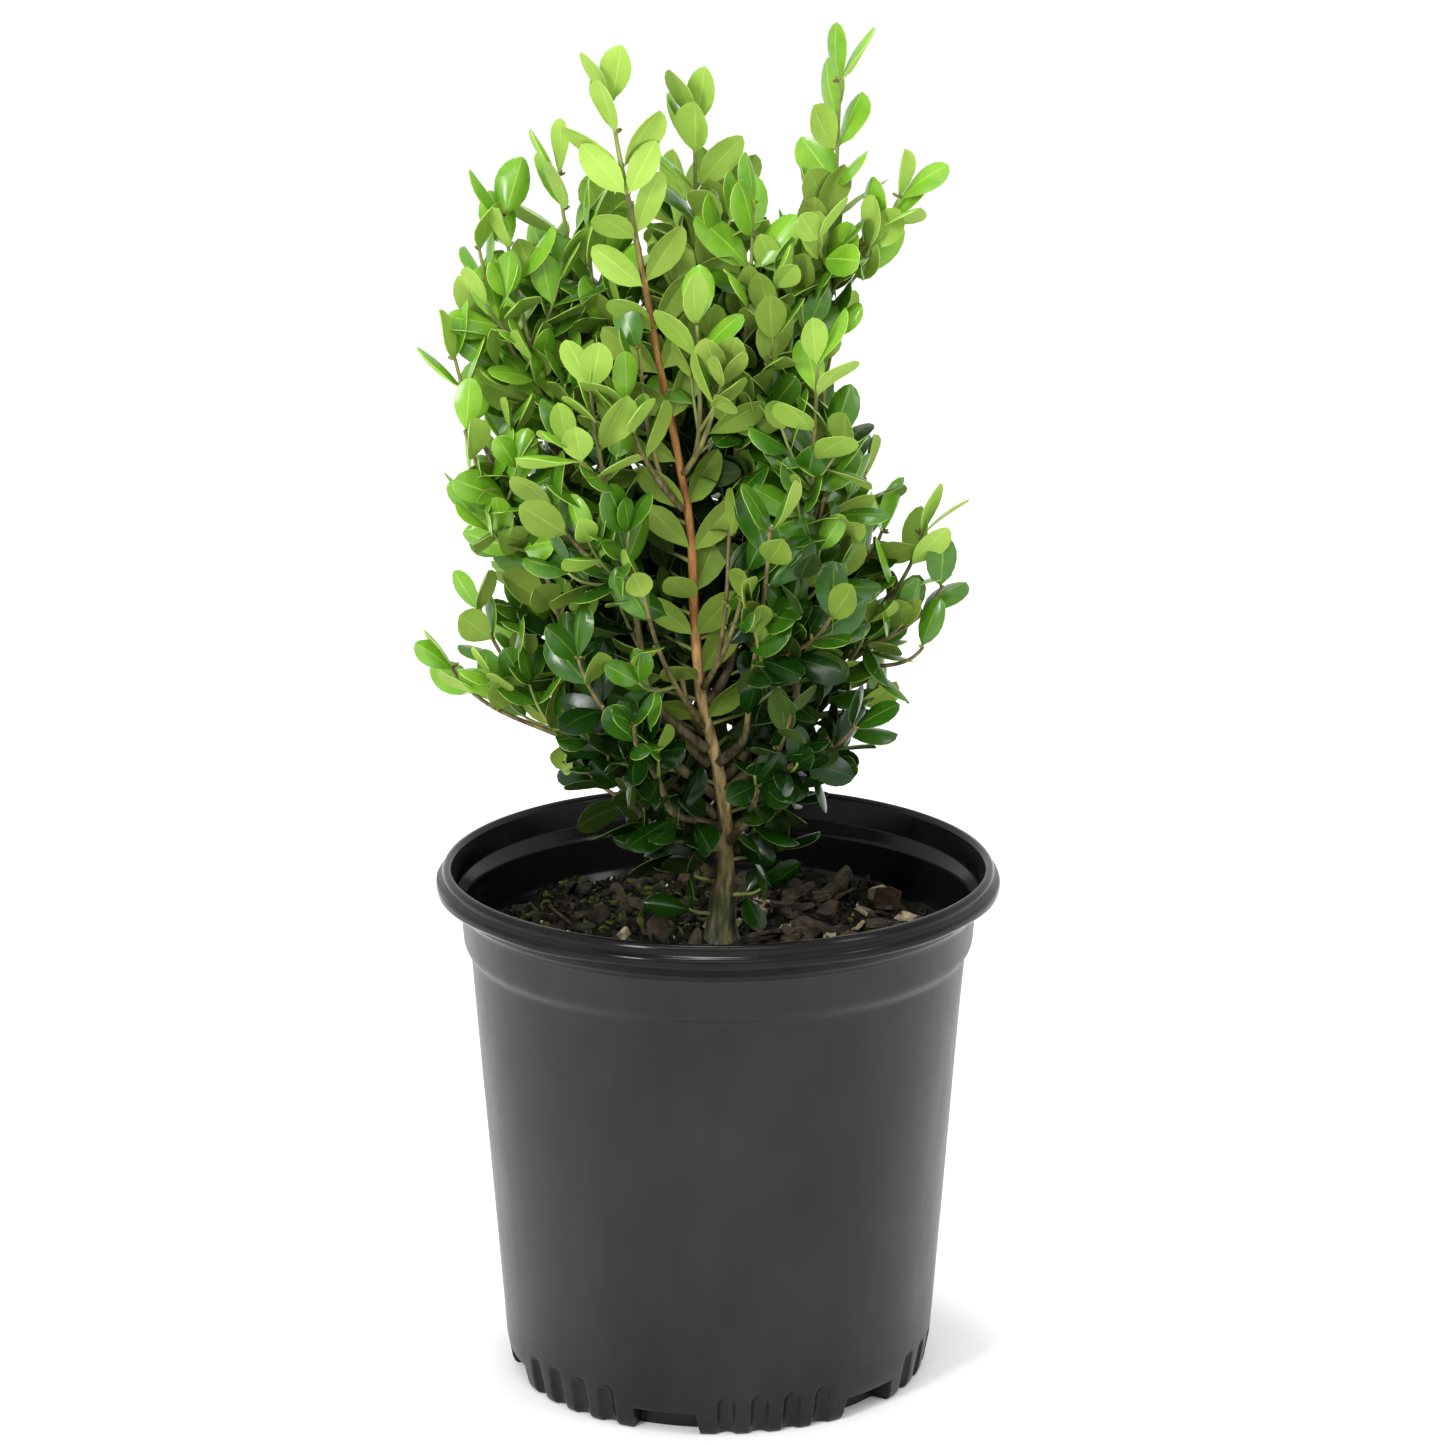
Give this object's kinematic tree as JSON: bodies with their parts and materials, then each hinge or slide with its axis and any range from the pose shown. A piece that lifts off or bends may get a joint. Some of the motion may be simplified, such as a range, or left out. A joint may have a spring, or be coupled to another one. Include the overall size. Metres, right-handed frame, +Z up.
{
  "type": "potted shrub",
  "caption": "Young upright boxwood shrub with slender leafy shoots, standing in a round black ribbed-foot nursery pot filled with potting mix.",
  "frame": {"origin": "on the pot's own axis, at the level of the flat undersides of its foot pads", "axes": "+Z up; -Y towards the viewer of the picture and +X to that viewer's right"},
  "size_m": [0.2015, 0.197, 0.4807],
  "materials": {
    "black_pot_plastic": "satin",
    "potting_soil": "matte, crumbly",
    "pale_bark": "matte, finely furrowed",
    "young_bark": "matte",
    "leaf_green_0": "glossy above, matte below",
    "leaf_green_1": "glossy above, matte below",
    "leaf_green_2": "glossy above, matte below"
  },
  "bodies": {
    "root": {"pot": "black_pot_plastic", "soil": "potting_soil", "trunk": "pale_bark", "bough_middle_spire": "young_bark", "bough_inner_spire": "young_bark", "bough_right_spire": "young_bark", "bough_left_upper": "young_bark", "bough_left_shoulder": "young_bark", "bough_left_arm": "young_bark", "bough_left_middle": "young_bark", "bough_left_low": "young_bark", "bough_right_cluster": "young_bark", "bough_right_knob": "young_bark", "bough_right_low": "young_bark", "bough_right_front": "young_bark", "bough_front_right": "young_bark", "bough_front_left": "young_bark", "bough_front_left_low": "young_bark", "bough_front_right_low": "young_bark", "bough_back_left_low": "young_bark", "bough_back_right_low": "young_bark", "bough_back_left": "young_bark", "bough_back_right": "young_bark", "bough_back_top": "young_bark", "foliage_leader_tip": "leaf_green_0", "foliage_leader_left": "leaf_green_1", "foliage_leader_right": "leaf_green_2", "foliage_leader_foot_left": "leaf_green_0", "foliage_leader_foot_right": "leaf_green_1", "foliage_middle_spire": "leaf_green_2", "foliage_inner_spire": "leaf_green_0", "foliage_right_spire": "leaf_green_1", "foliage_left_upper": "leaf_green_2", "foliage_left_shoulder": "leaf_green_0", "foliage_left_arm": "leaf_green_1", "foliage_left_middle": "leaf_green_2", "foliage_left_low": "leaf_green_0", "foliage_left_skirt": "leaf_green_1", "foliage_right_cluster": "leaf_green_2", "foliage_right_knob": "leaf_green_0", "foliage_right_low": "leaf_green_1", "foliage_right_front": "leaf_green_2", "foliage_front_right": "leaf_green_0", "foliage_front_left": "leaf_green_1", "foliage_front_left_low": "leaf_green_2", "foliage_front_right_low": "leaf_green_0", "foliage_back_left_low": "leaf_green_1", "foliage_back_right_low": "leaf_green_2", "foliage_back_left": "leaf_green_0", "foliage_back_right": "leaf_green_1", "foliage_back_top": "leaf_green_2"}
  },
  "joints": []
}
